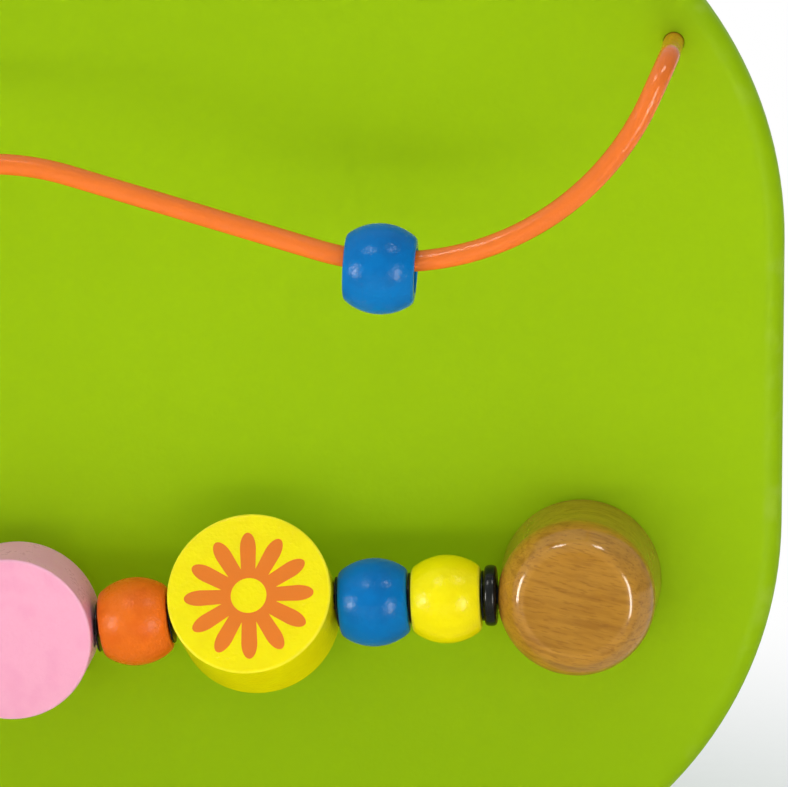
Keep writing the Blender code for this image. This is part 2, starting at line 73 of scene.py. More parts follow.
# %% [markdown]
# ## Who moves with what
#
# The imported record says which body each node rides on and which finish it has. Reading both from
# there, instead of typing them again, keeps this script in step with the model.

# %% Read the record
MM = 0.001
SIDES = (("left", -1), ("right", 1))
FRONT = Vector((0, -1, 0))
RIGHT = Vector((1, 0, 0))
UP = Vector((0, 0, 1))

record = frame["record"]
BODY_OF = {node: body for body, nodes in record["behaviour"]["bodies"].items() for node in nodes}
SLOT_OF = {part["node"]: part["material_slot"] for part in record["subparts"]}
HINGES = {joint["child"]: joint for joint in record["behaviour"]["joints"]}
print("bodies that move:", len(HINGES), "- finishes:", len(set(SLOT_OF.values())))

# %% [markdown]
# ## Measuring a node
#
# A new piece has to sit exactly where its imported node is. Most pieces here are turned on a lathe,
# so their flat ends give the direction of the axis: the direction that most of the flat surface
# faces. The node's points, seen along that axis, then give the centre, the radii and the length.


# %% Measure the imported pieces
def points_of(node):
    return np.array([vertex.co for vertex in frame["nodes"][node].data.vertices])


def broadest_face(node, towards):
    """Direction that most of a node's flat surface faces, on the given side."""
    areas = {}
    for face in frame["nodes"][node].data.polygons:
        normal = face.normal if face.normal.dot(towards) > 0 else -face.normal
        key = tuple(round(part, 2) for part in normal)
        areas.setdefault(key, []).append(normal * face.area)
    broadest = max(areas.values(), key=lambda normals: sum(normal.length for normal in normals))
    return sum(broadest, Vector((0, 0, 0))).normalized()


def standing(z, x):
    """Rotation whose local Z points along z, with local X as near to x as it can be."""
    y = z.cross(x).normalized()
    return Matrix((y.cross(z), y, z)).transposed()


def measure(node, z, x):
    """Place of a node's middle, turned to z and x, and its points in that place."""
    turn = standing(z, x)
    local = points_of(node) @ np.array(turn)
    middle = (local.min(0) + local.max(0)) / 2
    place = Matrix.Translation(turn @ Vector(middle)) @ turn.to_4x4()
    return place, local - middle


def radii_about(points, axis):
    """Least and greatest distance of points from one of their own axes, 0 to 2."""
    others = [column for column in range(3) if column != axis]
    distances = np.hypot(*points[:, others].T)
    return float(distances.min()), float(distances.max())


def turned_sizes(node, z, x):
    """Place of a turned node, its least and greatest radius, and half its length."""
    place, points = measure(node, z, x)
    return place, *radii_about(points, 2), float(points[:, 2].max())


board_low, board_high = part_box("base_board")
BOARD_WIDTH, BOARD_THICKNESS, BOARD_HEIGHT = board_high - board_low
print("board:", [round(size / MM, 1) for size in board_high - board_low], "mm")

# %% [markdown]
# ## Camera
#
# The photograph is a close view of the right half of the board, taken with a long lens from a
# little above and to the right. The focal length is given in pixels of the image, which is easy to
# measure, and turned into millimetres for Blender's 36 mm sensor.

# %% Set up the camera
IMAGE_WIDTH = 788
FOCAL_PIXELS = 5130
SENSOR_WIDTH = 36
VIEW_AZIMUTH = math.radians(4.4)
VIEW_ELEVATION = math.radians(7.9)
VIEW_DISTANCE = 950 * MM
VIEW_TARGET = Vector((71.2, -30, 0.2)) * MM
NEAREST_SEEN = 10 * MM


def direction(azimuth, elevation):
    """Direction from the board towards a point in front of it, from angles in radians."""
    flat = math.cos(elevation)
    return Vector((math.sin(azimuth) * flat, -math.cos(azimuth) * flat, math.sin(elevation)))


def put(name, data):
    """Adds an object to the scene."""
    item = bpy.data.objects.new(name, data)
    scene.collection.objects.link(item)
    return item


scene = bpy.context.scene
lens = bpy.data.cameras.new("close_view")
lens.sensor_width = SENSOR_WIDTH
lens.lens = SENSOR_WIDTH * FOCAL_PIXELS / IMAGE_WIDTH
lens.clip_start = NEAREST_SEEN
camera = put("close_view", lens)
back = direction(VIEW_AZIMUTH, VIEW_ELEVATION)
camera.location = VIEW_TARGET + back * VIEW_DISTANCE
camera.rotation_euler = back.to_track_quat("Z", "Y").to_euler()
scene.camera = camera
scene.view_settings.view_transform = "Standard"
print("camera:", round(lens.lens, 1), "mm lens at", [round(c / MM) for c in camera.location], "mm")

# %% [markdown]
# ## Studio lights
#
# The shades in the photograph are faint and wide, so most of the light comes from all round, as in
# a light tent: from the surroundings and the floor, and a little from a low panel in front. The
# small, sharp highlights on the varnish need something far brighter, yet that mustn't change the
# colours. So the four narrow boxes that can be read off the beads show in reflections only, and
# the panel only lights. A box is hung by the angles at which the row sees it, and its glow is its
# brightness next to white paper in full light. One more lamp hangs over the floor in front.

# %% Hang the soft boxes
BOX_DISTANCE = 1300 * MM
PANEL_DISTANCE = 360 * MM
LAMP_TINT = (1.0, 0.96, 0.9)
FLOOR_LIGHT_HEIGHT = 450 * MM
FLOOR_LIGHT_AHEAD = 330 * MM


def hang(name, location, **settings):
    """Hangs an area lamp that the camera can't see."""
    lamp = bpy.data.lights.new(name, "AREA")
    lamp.color = LAMP_TINT
    for word, value in settings.items():
        setattr(lamp, word, value)
    holder = put(name, lamp)
    holder.location = location
    holder.visible_camera = False
    return holder


def soft_box(name, azimuth, elevation, width, height, glow, distance=BOX_DISTANCE):
    """Area lamp that looks at the row. Its place and size are in degrees, as the row sees them."""
    wide, tall = (2 * distance * math.tan(math.radians(angle / 2)) for angle in (width, height))
    size = {"shape": "RECTANGLE", "size": wide, "size_y": tall}
    power = glow * math.pi * wide * tall
    aim = direction(math.radians(azimuth), math.radians(elevation))
    holder = hang(name, VIEW_TARGET + aim * distance, energy=power, **size)
    holder.rotation_euler = aim.to_track_quat("Z", "Y").to_euler()
    return holder


highlights = [
    soft_box("narrow_box_left", azimuth=-53, elevation=0, width=13, height=22, glow=32),
    soft_box("narrow_box_right", azimuth=38, elevation=-6, width=11, height=28, glow=28),
    soft_box("narrow_box_high_left", azimuth=-30, elevation=53, width=12, height=9, glow=26),
    soft_box("narrow_box_high_right", azimuth=44, elevation=55, width=11, height=9, glow=26),
]
for box in highlights:
    box.visible_diffuse = False
low_panel = soft_box(
    "low_panel", azimuth=0, elevation=-13, width=70, height=5, glow=6, distance=PANEL_DISTANCE
)
low_panel.visible_glossy = False

above_floor = (VIEW_TARGET.x, -FLOOR_LIGHT_AHEAD, cad_box[0].z + FLOOR_LIGHT_HEIGHT)
hang("floor_light", above_floor, size=320 * MM, spread=math.radians(40), energy=0.8)
print("lamps:", len(bpy.data.lights))

# %% [markdown]
# ## Shader sums in Python
#
# A finish is a small calculation: noise times a mask, one minus that, and so on. Wiring Math nodes
# by hand hides such a sum, so a Signal wraps one output of a node and lets Python's own operators
# add the Math nodes. A Recipe holds the node tree and adds any other node.


# %% Signals and recipes
class Signal:
    """One output of a shader node, ready for sums with other signals and with numbers."""

    def __init__(self, recipe, socket):
        self.recipe = recipe
        self.socket = socket

    def __getitem__(self, output):
        return Signal(self.recipe, self.socket.node.outputs[output])

    def _math(self, operation, first, second):
        return self.recipe.node("Math", {"operation": operation}, {0: first, 1: second})

    def __add__(self, other):
        return self._math("ADD", self, other)

    def __sub__(self, other):
        return self._math("SUBTRACT", self, other)

    def __rsub__(self, other):
        return self._math("SUBTRACT", other, self)

    def __mul__(self, other):
        return self._math("MULTIPLY", self, other)

    def __pow__(self, other):
        return self._math("POWER", self, other)

    __radd__ = __add__


class Recipe:
    """A node tree in the making."""

    def __init__(self, tree):
        self.tree = tree

    def node(self, kind, settings, sockets):
        """Adds a node, sets it up, feeds its sockets and returns its first output."""
        made = self.tree.nodes.new(f"ShaderNode{kind}")
        for name, value in settings.items():
            setattr(made, name, value)
        for name, value in sockets.items():
            self.feed(made, name, value)
        return Signal(self, next(output for output in made.outputs if output.enabled))

    def feed(self, node, name, value):
        """Links a signal to a socket, or sets the socket to a number, vector or colour."""
        by_name = (socket for socket in node.inputs if socket.enabled and socket.name == name)
        socket = node.inputs[name] if isinstance(name, int) else next(by_name)
        if isinstance(value, Signal):
            self.tree.links.new(value.socket, socket)
        elif socket.type == "RGBA":
            socket.default_value = (*value, 1.0)
        else:
            socket.default_value = value

    def blend(self, share, first, second):
        """Mixes two colours. A share of 1 gives the second."""
        sockets = {"Factor": share, "A": first, "B": second}
        return self.node("Mix", {"data_type": "RGBA"}, sockets)


print("signals add Math nodes for + - * and **")

# %% [markdown]
# ## Words for surfaces
#
# Every finish below needs the same few things: where a point lies on the piece, noise of a given
# size, a soft threshold and a bump. Places are in the piece's own metres, so a grain of half a
# millimetre has a size of 0.5 mm in the script too, and it turns with the piece.

# %% Nodes that every finish uses
FINISHES = {}


class Finish(Recipe):
    """A material on Blender's Principled surface. Settings that don't vary go on its sockets."""

    def __init__(self, name, **settings):
        self.material = bpy.data.materials.new(name)
        self.material.use_nodes = True
        FINISHES[name] = self.material
        super().__init__(self.material.node_tree)
        self.surface = self.tree.nodes["Principled BSDF"]
        for word, value in settings.items():
            self.paint(word.replace("_", " ").title().replace("Ior", "IOR"), value)

    def paint(self, socket, value):
        self.feed(self.surface, socket, value)

    def place(self):
        return self.node("TexCoord", {}, {})["Object"]

    def rubbed(self):
        """The mark that the shapes below leave on their rounded edges."""
        return self.node("Attribute", {"attribute_name": "rub"}, {})["Fac"]

    def stretched(self, place, factors):
        return self.node("VectorMath", {"operation": "MULTIPLY"}, {0: place, 1: factors})

    def noise(self, place, size, detail=2.0):
        """Cloudy noise from 0 to 1 whose patches are about this large."""
        return self.node("TexNoise", {}, {"Vector": place, "Scale": 1 / size, "Detail": detail})

    def fade(self, value, low, high):
        """0 below low, 1 above high and smooth between them."""
        sockets = {"Value": value, "From Min": low, "From Max": high}
        return self.node("MapRange", {"interpolation_type": "SMOOTHSTEP"}, sockets)

    def bump(self, height, depth):
        """Raises the surface by the height signal, at most this deep."""
        raised = self.node("Bump", {}, {"Height": height, "Distance": depth})
        self.paint("Normal", raised)


def scaled(colour, factor):
    return tuple(min(1.0, part * factor) for part in colour)


print("words ready: place, rubbed, stretched, noise, fade, bump")

# %% [markdown]
# ## Green lacquer
#
# The board is sprayed with a flat lime green. Sprayed lacquer is never quite even: it drifts a
# little in tone over a hand's width, has a fine skin like orange peel, and wears paler where hands
# pass over its rounded edge.

# %% Mix the green lacquer
LIME = (0.325, 0.53, 0.002)
green = Finish("green_lacquer", specular_ior_level=0.04)
where = green.place()
drift = green.noise(where, 60 * MM, 3)
speckle = green.noise(where, 0.9 * MM, 3)
peel = green.noise(where, 1.6 * MM)
scuffed = green.rubbed() * green.fade(green.noise(where, 7 * MM, 5), 0.5, 0.75)
tone = green.blend(drift * 0.8 + speckle * 0.2, scaled(LIME, 1.05), scaled(LIME, 0.94))
green.paint("Base Color", green.blend(scuffed * 0.35, tone, (0.5, 0.66, 0.08)))
green.paint("Roughness", 0.42 + speckle * 0.12 - scuffed * 0.1)
green.bump(peel, 0.05 * MM)
print("green lacquer mixed")

# %% [markdown]
# ## Coloured lacquers
#
# The beads and discs are dipped or sprayed in strong colours that barely shine. The lathe leaves
# fine rings that show through the paint, and the paint gathers into a deeper tone in places and
# thins out on the edges. One function mixes them all: they differ only in colour and gloss.

# %% Mix the bead lacquers
RING_PITCH = 0.55 * MM
RING_WOBBLE = 5


def mix_lacquer(slot, colour, deep, thin, roughness):
    """Satin lacquer on turned wood, with a deeper tone in patches and a thin one on edges."""
    paint = Finish(slot, specular_ior_level=0.09)
    where = paint.place()
    pooled = paint.fade(paint.noise(where, 4.5 * MM, 3), 0.38, 0.72)
    speckle = paint.noise(where, 0.6 * MM)
    parts = paint.node("SeparateXYZ", {}, {0: where})
    swirl = parts["Z"] * (math.tau / RING_PITCH) + paint.noise(where, 3 * MM) * RING_WOBBLE
    rings = paint.node("Math", {"operation": "SINE"}, {0: swirl})
    rim = paint.rubbed() * (0.35 + speckle * 0.5)
    tone = paint.blend(pooled * 0.75 + speckle * 0.2, colour, deep)
    paint.paint("Base Color", paint.blend(rim, tone, thin))
    paint.paint("Roughness", roughness + pooled * 0.03 + speckle * 0.05)
    paint.bump(speckle * 0.8 + rings * 0.02 + pooled * 0.2, 0.1 * MM)


mix_lacquer("yellow_lacquer", (0.93, 0.78, 0.002), (0.9, 0.73, 0.001), (0.96, 0.84, 0.05), 0.13)
mix_lacquer("blue_lacquer", (0.001, 0.165, 0.48), (0.001, 0.135, 0.41), (0.004, 0.2, 0.5), 0.13)
mix_lacquer("orange_lacquer", (0.84, 0.165, 0.012), (0.76, 0.125, 0.006), (0.86, 0.22, 0.04), 0.25)
mix_lacquer("pink_lacquer", (0.95, 0.41, 0.57), (0.92, 0.37, 0.54), (0.95, 0.5, 0.63), 0.25)
print("lacquers mixed:", sorted(FINISHES))

# %% [markdown]
# ## Varnished wood
#
# The posts are plain hardwood under clear varnish. Growth rings run round a pith far below the
# post, so they cross the round top as slanting, slightly curved lines, and the same rings carry on
# down the side. Dark streaks and short pores lie along the grain. The varnish is a second glossy
# layer, which Blender calls the coat: it mirrors the lamps and, down the side, the green board.
# The varnish is thinner on the flat top, and the wood there is darkened as painted shade.

# %% Grow the wood
GRAIN_SLANT = math.radians(13)
PITH_BELOW = 52 * MM
PITH_BEHIND = 20 * MM
RING_WIDTH = 2.1 * MM
GROWTH_WOBBLE = 13
ALONG_GRAIN = (0.15, 1, 1)
post_low, post_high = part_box("post_right")
POST_TOP = (post_high.y - post_low.y) / 2
TOP_BAND_DEPTH = 0.1 * MM

wood = Finish("varnished_wood", coat_ior=1.36, coat_roughness=0.12, specular_ior_level=0.03)
sockets = {"Vector": wood.place(), "Angle": GRAIN_SLANT}
slanted = wood.node("VectorRotate", {"rotation_type": "Z_AXIS"}, sockets)
along = wood.stretched(slanted, ALONG_GRAIN)
parts = wood.node("SeparateXYZ", {}, {0: slanted})
from_pith = ((parts["Y"] + PITH_BELOW) ** 2 + (parts["Z"] + PITH_BEHIND) ** 2) ** 0.5
swirl = from_pith * (math.tau / RING_WIDTH) + wood.noise(along, 2.2 * MM, 4) * GROWTH_WOBBLE
rings = wood.node("Math", {"operation": "SINE"}, {0: swirl})
late_wood = wood.fade(rings, 0.1, 1.0) * wood.noise(along, 4 * MM)
pores = wood.fade(wood.noise(along, 0.38 * MM), 0.53, 0.7)
streaks = wood.fade(wood.noise(along, 1.4 * MM, 3), 0.45, 0.68)
cloud = wood.noise(slanted, 5 * MM, 3)
# Band at the flat top: the coat thins there, and the wood gets a painted shade.
thin_coat_and_shade = wood.fade(parts["Z"], POST_TOP - TOP_BAND_DEPTH, POST_TOP)
tone = wood.blend(cloud, (0.53, 0.25, 0.025), (0.44, 0.19, 0.013))
tone = wood.blend(late_wood * 0.4 + streaks * 0.35, tone, (0.25, 0.095, 0.006))
tone = wood.blend(pores * 0.45, tone, (0.2, 0.075, 0.006))
# Painted shade: the flat top is darkened towards deep brown, so the side looks lighter.
wood.paint("Base Color", wood.blend(thin_coat_and_shade * 0.2, tone, (0.2, 0.075, 0.004)))
wood.paint("Roughness", 0.5 - cloud * 0.15)
wood.paint("Coat Weight", 1 - thin_coat_and_shade * (0.5 + cloud * 0.3))
wood.bump(1 - pores * 0.6 - late_wood * 0.3, 0.03 * MM)
print("wood grown: rings", RING_WIDTH / MM, "mm apart")

# %% [markdown]
# ## Coated wire, rubber and cord
#
# The wire has a smooth plastic skin in orange, a little wavy, so its highlight breaks into glints.
# The rings on the cord are black rubber with a dull bloom, and the cord itself is braided: its
# strands are shaped further down, so its finish only needs the fuzz of the threads.

# %% Mix the coating, the rubber and the yarn
coating = Finish("orange_coating", specular_ior_level=0.25)
where = coating.place()
waves = coating.noise(where, 3.5 * MM)
grit = coating.noise(where, 0.5 * MM)
drift = coating.noise(where, 14 * MM, 3)
orange = coating.blend(drift * 0.7 + grit * 0.2, (0.88, 0.19, 0.022), (0.8, 0.15, 0.012))
coating.paint("Base Color", orange)
coating.paint("Roughness", 0.05 + grit * 0.08 + drift * 0.1)
coating.bump(waves * 0.8 + grit * 0.35, 0.2 * MM)

rubber = Finish("black_rubber", specular_ior_level=0.18)
where = rubber.place()
bloom = rubber.noise(where, 2 * MM, 4)
grit = rubber.noise(where, 0.35 * MM)
rubber.paint("Base Color", rubber.blend(bloom, (0.003, 0.0032, 0.0025), (0.009, 0.0095, 0.008)))
rubber.paint("Roughness", 0.12 + bloom * 0.14)
rubber.bump(grit, 0.015 * MM)

yarn = Finish("black_cord", specular_ior_level=0.3)
fuzz = yarn.noise(yarn.place(), 0.2 * MM, 3)
yarn.paint("Base Color", yarn.blend(fuzz, (0.006, 0.006, 0.006), (0.03, 0.03, 0.028)))
yarn.paint("Roughness", 0.6 + fuzz * 0.3)
yarn.bump(fuzz, 0.04 * MM)
print("coating, rubber and yarn mixed")

# %% [markdown]
# ## Metals
#
# The screws and the keyhole plates are zinc plated steel: pale, cloudy, with fine rolling lines
# along one direction. The ferrules that hold the cord's ends are brass, by the same recipe.

# %% Mix the metals
ALONG_PIECE = (1, 1, 0.06)


def mix_metal(slot, bright, dull, roughness):
    """Rolled or drawn metal with cloudy patches and fine lines along the piece."""
    metal = Finish(slot, metallic=1.0)
    where = metal.place()
    cloud = metal.noise(where, 3 * MM, 4)
    lines = metal.noise(metal.stretched(where, ALONG_PIECE), 0.25 * MM, 3)
    worn = metal.rubbed() * 0.6
    tone = metal.blend(cloud * 0.6 + lines * 0.4, bright, dull)
    metal.paint("Base Color", metal.blend(worn, tone, scaled(bright, 1.2)))
    metal.paint("Roughness", roughness + cloud * 0.15 - worn * 0.15)
    metal.bump(lines, 0.01 * MM)


mix_metal("plated_steel", (0.66, 0.65, 0.62), (0.5, 0.5, 0.5), 0.28)
mix_metal("brass", (0.76, 0.55, 0.22), (0.58, 0.4, 0.14), 0.26)
print("finishes for every slot:", sorted(set(SLOT_OF.values())) == sorted(FINISHES))

# %% [markdown]
# ## Turning and rounding
#
# Almost every piece is turned, so one function spins a profile of (radius, height) points about
# local Z. Real edges are never sharp. The profile's corners carry the size of their rounding, and
# the rounded points get a mark named rub, which the finishes above read as wear.

# %% Shapes by turning
ROUND_STEPS = 6


def soften(corners, steps=ROUND_STEPS):
    """Rounds the corners of a profile, each (radius, height, rounding), and marks them rubbed."""
    points = []
    for i, (radius, height, rounding) in enumerate(corners):
        here = Vector((radius, height))
        if not rounding:
            points.append((radius, height, 0.0))
            continue
        before = Vector(corners[i - 1][:2])
        after = Vector(corners[(i + 1) % len(corners)][:2])
        start = here + (before - here).normalized() * rounding
        end = here + (after - here).normalized() * rounding
        for k in range(steps + 1):
            t = k / steps
            spot = start * (1 - t) ** 2 + here * 2 * t * (1 - t) + end * t**2
            points.append((spot.x, spot.y, 1 - abs(2 * t - 1)))
    return points


def skin(rings, closed, capped):
    """Mesh over rings of (point, rub) pairs. A ring of one point is a tip on the axis."""
    builder = bmesh.new()
    rub = builder.verts.layers.float.new("rub")
    rows = []
    for ring in rings:
        rows.append([builder.verts.new(point) for point, _ in ring])
        for vertex, (_, worn) in zip(rows[-1], ring):
            vertex[rub] = worn
    for lower, upper in zip(rows, rows[1:] + rows[:1] * closed):
        count = max(len(lower), len(upper))
        for k in range(count):
            quad = [lower[k % len(lower)], lower[(k + 1) % count % len(lower)]]
            quad += [upper[(k + 1) % count % len(upper)], upper[k % len(upper)]]
            builder.faces.new(dict.fromkeys(quad))
    if capped:
        builder.faces.new(reversed(rows[0]))
        builder.faces.new(rows[-1])
    bmesh.ops.recalc_face_normals(builder, faces=builder.faces)
    mesh = bpy.data.meshes.new("shape")
    builder.to_mesh(mesh)
    builder.free()
    return mesh


def lathe(profile, steps, ripple=None):
    """Turns a profile about local Z. A ripple adds to the radius at an angle and a height."""
    rings = []
    for radius, height, worn in profile:
        ring = []
        for k in range(steps if radius else 1):
            angle = math.tau * k / steps
            reach = radius + (ripple(angle, height) if ripple else 0)
            ring.append((Vector((reach * math.cos(angle), reach * math.sin(angle), height)), worn))
        rings.append(ring)
    return skin(rings, closed=profile[0][0] > 0, capped=False)


print("a profile's corners are rounded and marked rubbed")

# %% [markdown]
# ## Dressing a node
#
# A finished piece takes its node's name, body and slot, and hides the node. Normals that follow
# the larger faces keep flat ends flat next to their rounded edges. Holes are cut with Blender's
# exact Boolean, and the cutter is thrown away at once. A cut can leave points almost on top of
# each other, and welding them keeps the mesh clean.

# %% Put pieces in place
SHARP_ANGLE = math.radians(38)
WELD = 0.004 * MM


def add_piece(name, mesh, place, material=None):
    piece = put(name, mesh)
    piece.matrix_world = place
    if material:
        mesh.materials.append(material)
    return piece


def polish(piece):
    """Shades a piece smooth across its rounded edges and flat on its flat faces."""
    piece.data.shade_smooth()
    piece.data.set_sharp_from_angle(angle=SHARP_ANGLE)
    normals = piece.modifiers.new("even_normals", "WEIGHTED_NORMAL")
    normals.keep_sharp = True


def weld(mesh):
    """Joins points that a cut left almost on top of each other, and drops the slivers between."""
    builder = bmesh.new()
    builder.from_mesh(mesh)
    bmesh.ops.remove_doubles(builder, verts=builder.verts, dist=WELD)
    bmesh.ops.dissolve_degenerate(builder, edges=builder.edges, dist=WELD)
    builder.to_mesh(mesh)
    builder.free()


def dress(node, look, mesh, place, holes=()):
    """Stands a finished piece in a node's place, cut by holes: pairs of a mesh and its place."""
    piece = add_piece(f"{look}_{node}", mesh, place, FINISHES[SLOT_OF[node]])
    cutters = [add_piece("cutter", shape, spot) for shape, spot in holes]
    for cutter in cutters:
        cut = piece.modifiers.new("cut", "BOOLEAN")
        cut.solver = "EXACT"
        cut.object = cutter
    if cutters:
        finished = piece.evaluated_get(bpy.context.evaluated_depsgraph_get())
        piece.data = bpy.data.meshes.new_from_object(finished)
        piece.modifiers.clear()
        weld(piece.data)
        for cutter in cutters:
            bpy.data.objects.remove(cutter)
    polish(piece)
    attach(piece, BODY_OF[node])
    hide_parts(node)
    return piece


def facing(spot, z, x=RIGHT):
    """Place at a spot with local Z along z."""
    return Matrix.Translation(spot) @ standing(z, x).to_4x4()


print("pieces take their node's body and slot")

# %% [markdown]
# ## Screws
#
# Two large screws come through the board into the posts, and four small ones hold the keyhole
# plates. Their countersunk heads show on the back. A thread is a ripple on the shank that climbs
# one pitch each turn, and the cross in the head is cut by two tapered bars.

# %% Make the screws
SCREW_STEPS = 36
SCREW_PLAY = 0.15 * MM
HOLE_STEPS = 40
PAST = 2 * MM
HEAD_BAND = 0.1 * MM
HEAD_EASE = (0.25 * MM, 0.12 * MM)
HEAD_LAND = 0.3 * MM
LAND_WEAR = 0.4
THREAD_WEAR = 0.3
THREAD_ROWS = 10
THREAD_PITCH_SHARE = 0.9
THREAD_DEPTH_SHARE = 0.22
THREAD_STEEPNESS = 1.6
CROSS_TAPER = 0.55
CROSS_WIDTH_SHARE = 0.17
CROSS_REACH_SHARE = 0.66
CROSS_DEPTH_SHARE = 0.6


def cross_bar(head_radius, turn):
    """Tapered bar across a screw's head, sinking from above its face."""
    half = head_radius * CROSS_REACH_SHARE
    thin = head_radius * CROSS_WIDTH_SHARE
    depth = head_radius * CROSS_DEPTH_SHARE
    rings = []
    for height, narrow in ((depth, 1.0), (0.0, 1.0), (-depth, CROSS_TAPER)):
        corners = ((1, 1), (-1, 1), (-1, -1), (1, -1))
        spots = [Vector((a * half * narrow, b * thin * narrow, height)) for a, b in corners]
        rings.append([(Matrix.Rotation(turn, 3, "Z") @ spot, 0.0) for spot in spots])
    return skin(rings, closed=False, capped=True)


def screw_sizes(node):
    """Place of a screw with local Z out of its head, its two radii, and four heights on it."""
    place, points = measure(node, -FRONT, -RIGHT)
    heights = points[:, 2]
    head, top = radii_about(points, 2)[1], float(heights.max())
    below = heights[heights < top - HEAD_BAND]
    point, tip, *_, neck = sorted({round(height / MM, 2) * MM for height in below})
    return place, head, head - (top - neck), top, neck, tip, point


def make_screw(node):
    place, head, shank, top, neck, tip, point = screw_sizes(node)
    pitch = shank * THREAD_PITCH_SHARE
    tip_length = tip - point
    rows = round((neck - point) / pitch) * THREAD_ROWS

    def thread(angle, height):
        if height > neck - pitch / 2:
            return 0.0
        climb = (height / pitch - angle / math.tau) % 1.0
        taper = min(1.0, (height - point) / tip_length)
        groove = min(1.0, abs(2 * climb - 1) * THREAD_STEEPNESS)
        return -shank * THREAD_DEPTH_SHARE * taper * groove

    inward, down = HEAD_EASE
    profile = [(0.0, top, 0.0), (head - inward, top, 0.0), (head, top - down, 1.0)]
    profile += [(head, top - HEAD_LAND, LAND_WEAR), (shank, neck, 0.0)]
    for k in range(1, rows):
        height = neck + (point - neck) * k / rows
        profile.append((shank * min(1.0, (height - point) / tip_length), height, THREAD_WEAR))
    profile.append((0.0, point, 0.0))
    face = place @ Matrix.Translation((0, 0, top))
    cross = [(cross_bar(head, turn), face) for turn in (0, math.pi / 2)]
    dress(node, "plated", lathe(profile, SCREW_STEPS, thread), place, cross)


def screw_hole(node):
    """Cutter for a screw's own hole: its countersink, its shank and room past its point."""
    place, head, shank, top, neck, _, point = screw_sizes(node)
    wide, narrow, end = head + SCREW_PLAY, shank + SCREW_PLAY, point - SCREW_PLAY
    outline = [(0, end, 0), (narrow, end, 0), (narrow, neck, 0)]
    outline += [(wide, top, 0), (wide, top + PAST, 0), (0, top + PAST, 0)]
    return lathe(outline, HOLE_STEPS), place


screws = [node for node in frame["nodes"] if "screw" in node]
for node in screws:
    make_screw(node)
print("screws:", len(screws))

# %% [markdown]
# ## Plates with rounded corners
#
# The board and the keyhole plates are flat panels with round corners. Their edges are rounded too:
# a panel is a stack of the same outline, drawn in a little more for each step into the rounding.


# %% Shapes by stacking an outline
def arc(centre, radius, start, end, steps):
    """Points along an arc, both ends included, with angles in degrees."""
    angles = [math.radians(start + (end - start) * k / steps) for k in range(steps + 1)]
    x, y = centre
    return [(x + radius * math.cos(angle), y + radius * math.sin(angle)) for angle in angles]


def rounded_outline(width, height, corner, steps):
    """Outline of a panel with round corners, anticlockwise about its middle."""
    x, y = width / 2 - corner, height / 2 - corner
    outline = []
    for i, centre in enumerate(((x, y), (-x, y), (-x, -y), (x, -y))):
        outline += arc(centre, corner, 90 * i, 90 * (i + 1), steps)
    return outline


def rounded_edge(depth, lower_round, upper_round, steps):
    """(inset, height, rub) from the lower to the upper face of a panel with rounded edges."""
    turns = [math.pi / 2 * k / steps for k in range(steps + 1)]
    quarter = [(1 - math.sin(t), 1 - math.cos(t), math.sin(2 * t)) for t in turns]
    lower = [(a * lower_round, b * lower_round, worn) for a, b, worn in quarter]
    return lower + [(b * upper_round, depth - a * upper_round, worn) for a, b, worn in quarter]


def panel(width, height, corner, edge, steps):
    """Panel in local X and Y, from local Z = 0 up."""
    rings = []
    for inset, level, worn in edge:
        shape = rounded_outline(width - 2 * inset, height - 2 * inset, corner - inset, steps)
        rings.append([(Vector((x, y, level)), worn) for x, y in shape])
    return skin(rings, closed=False, capped=True)


def prism(outline, low, high):
    """Straight cutter with the given outline, between two heights."""
    rings = [[(Vector((x, y, level)), 0.0) for x, y in outline] for level in (low, high)]
    return skin(rings, closed=False, capped=True)


print("panels are stacked from their outline")

# %% [markdown]
# ## Keyhole plates
#
# Two steel plates are let into the back of the board, flush with it. A wall screw's head goes in
# at the round entry and the board then drops, so the screw's shank rises into the narrow slot.

# %% Make the keyhole plates
KEYHOLE_ENTRY = 9.5 * MM
KEYHOLE_SLOT = 5 * MM
KEYHOLE_RISE = 9 * MM
KEYHOLE_DROP = 4.5 * MM
PLATE_CORNER = 4 * MM
PLATE_EDGE = 0.25 * MM
PLATE_EDGE_STEPS = 3
PLATE_STEPS = 10


def keyhole(swell):
    """Outline of the keyhole about the plate's middle, widened all round by swell."""
    entry = KEYHOLE_ENTRY / 2 + swell
    slot = KEYHOLE_SLOT / 2 + swell
    meet = math.degrees(math.acos(slot / entry))
    top = arc((0, KEYHOLE_RISE - KEYHOLE_DROP), slot, 0, 180, HOLE_STEPS // 2)
    return top + arc((0, -KEYHOLE_DROP), entry, 180 - meet, 360 + meet, HOLE_STEPS)


def make_plate(word):
    node = f"hanger_plate_{word}"
    place, points = measure(node, -FRONT, -RIGHT)
    width, height, thickness = 2 * points.max(0)
    place = place @ Matrix.Translation((0, 0, -thickness / 2))
    edge = rounded_edge(thickness, PLATE_EDGE, PLATE_EDGE, PLATE_EDGE_STEPS)
    holes = [
        (prism(keyhole(0), -PAST, thickness + PAST), place),
        (prism(keyhole(PLATE_EDGE), thickness - PLATE_EDGE, thickness + PAST), place),
    ]
    for end in ("upper", "lower"):
        holes.append(screw_hole(f"hanger_screw_{word}_{end}"))
    dress(node, "zinc", panel(width, height, PLATE_CORNER, edge, PLATE_STEPS), place, holes)


for word, _ in SIDES:
    make_plate(word)
print("keyhole plates: 2")

# %% [markdown]
# ## The board
#
# The board is one thick panel with large round corners and a soft front edge. It could be a scaled
# cube with a bevel, but a stacked outline gives the corner and the edge their exact radii. The
# sockets for the wire, the countersinks and the seats of the keyhole plates are then cut from it.

# %% Make the board
FRONT_ROUND = 4 * MM
BACK_ROUND = 1.2 * MM
SEAT_PLAY = 0.2 * MM
POCKET_WIDTH = 12.3 * MM
POCKET_DEPTH = 8 * MM
BOARD_EDGE_STEPS = 8
BOARD_STEPS = 40
NEAR = 0.01 * MM


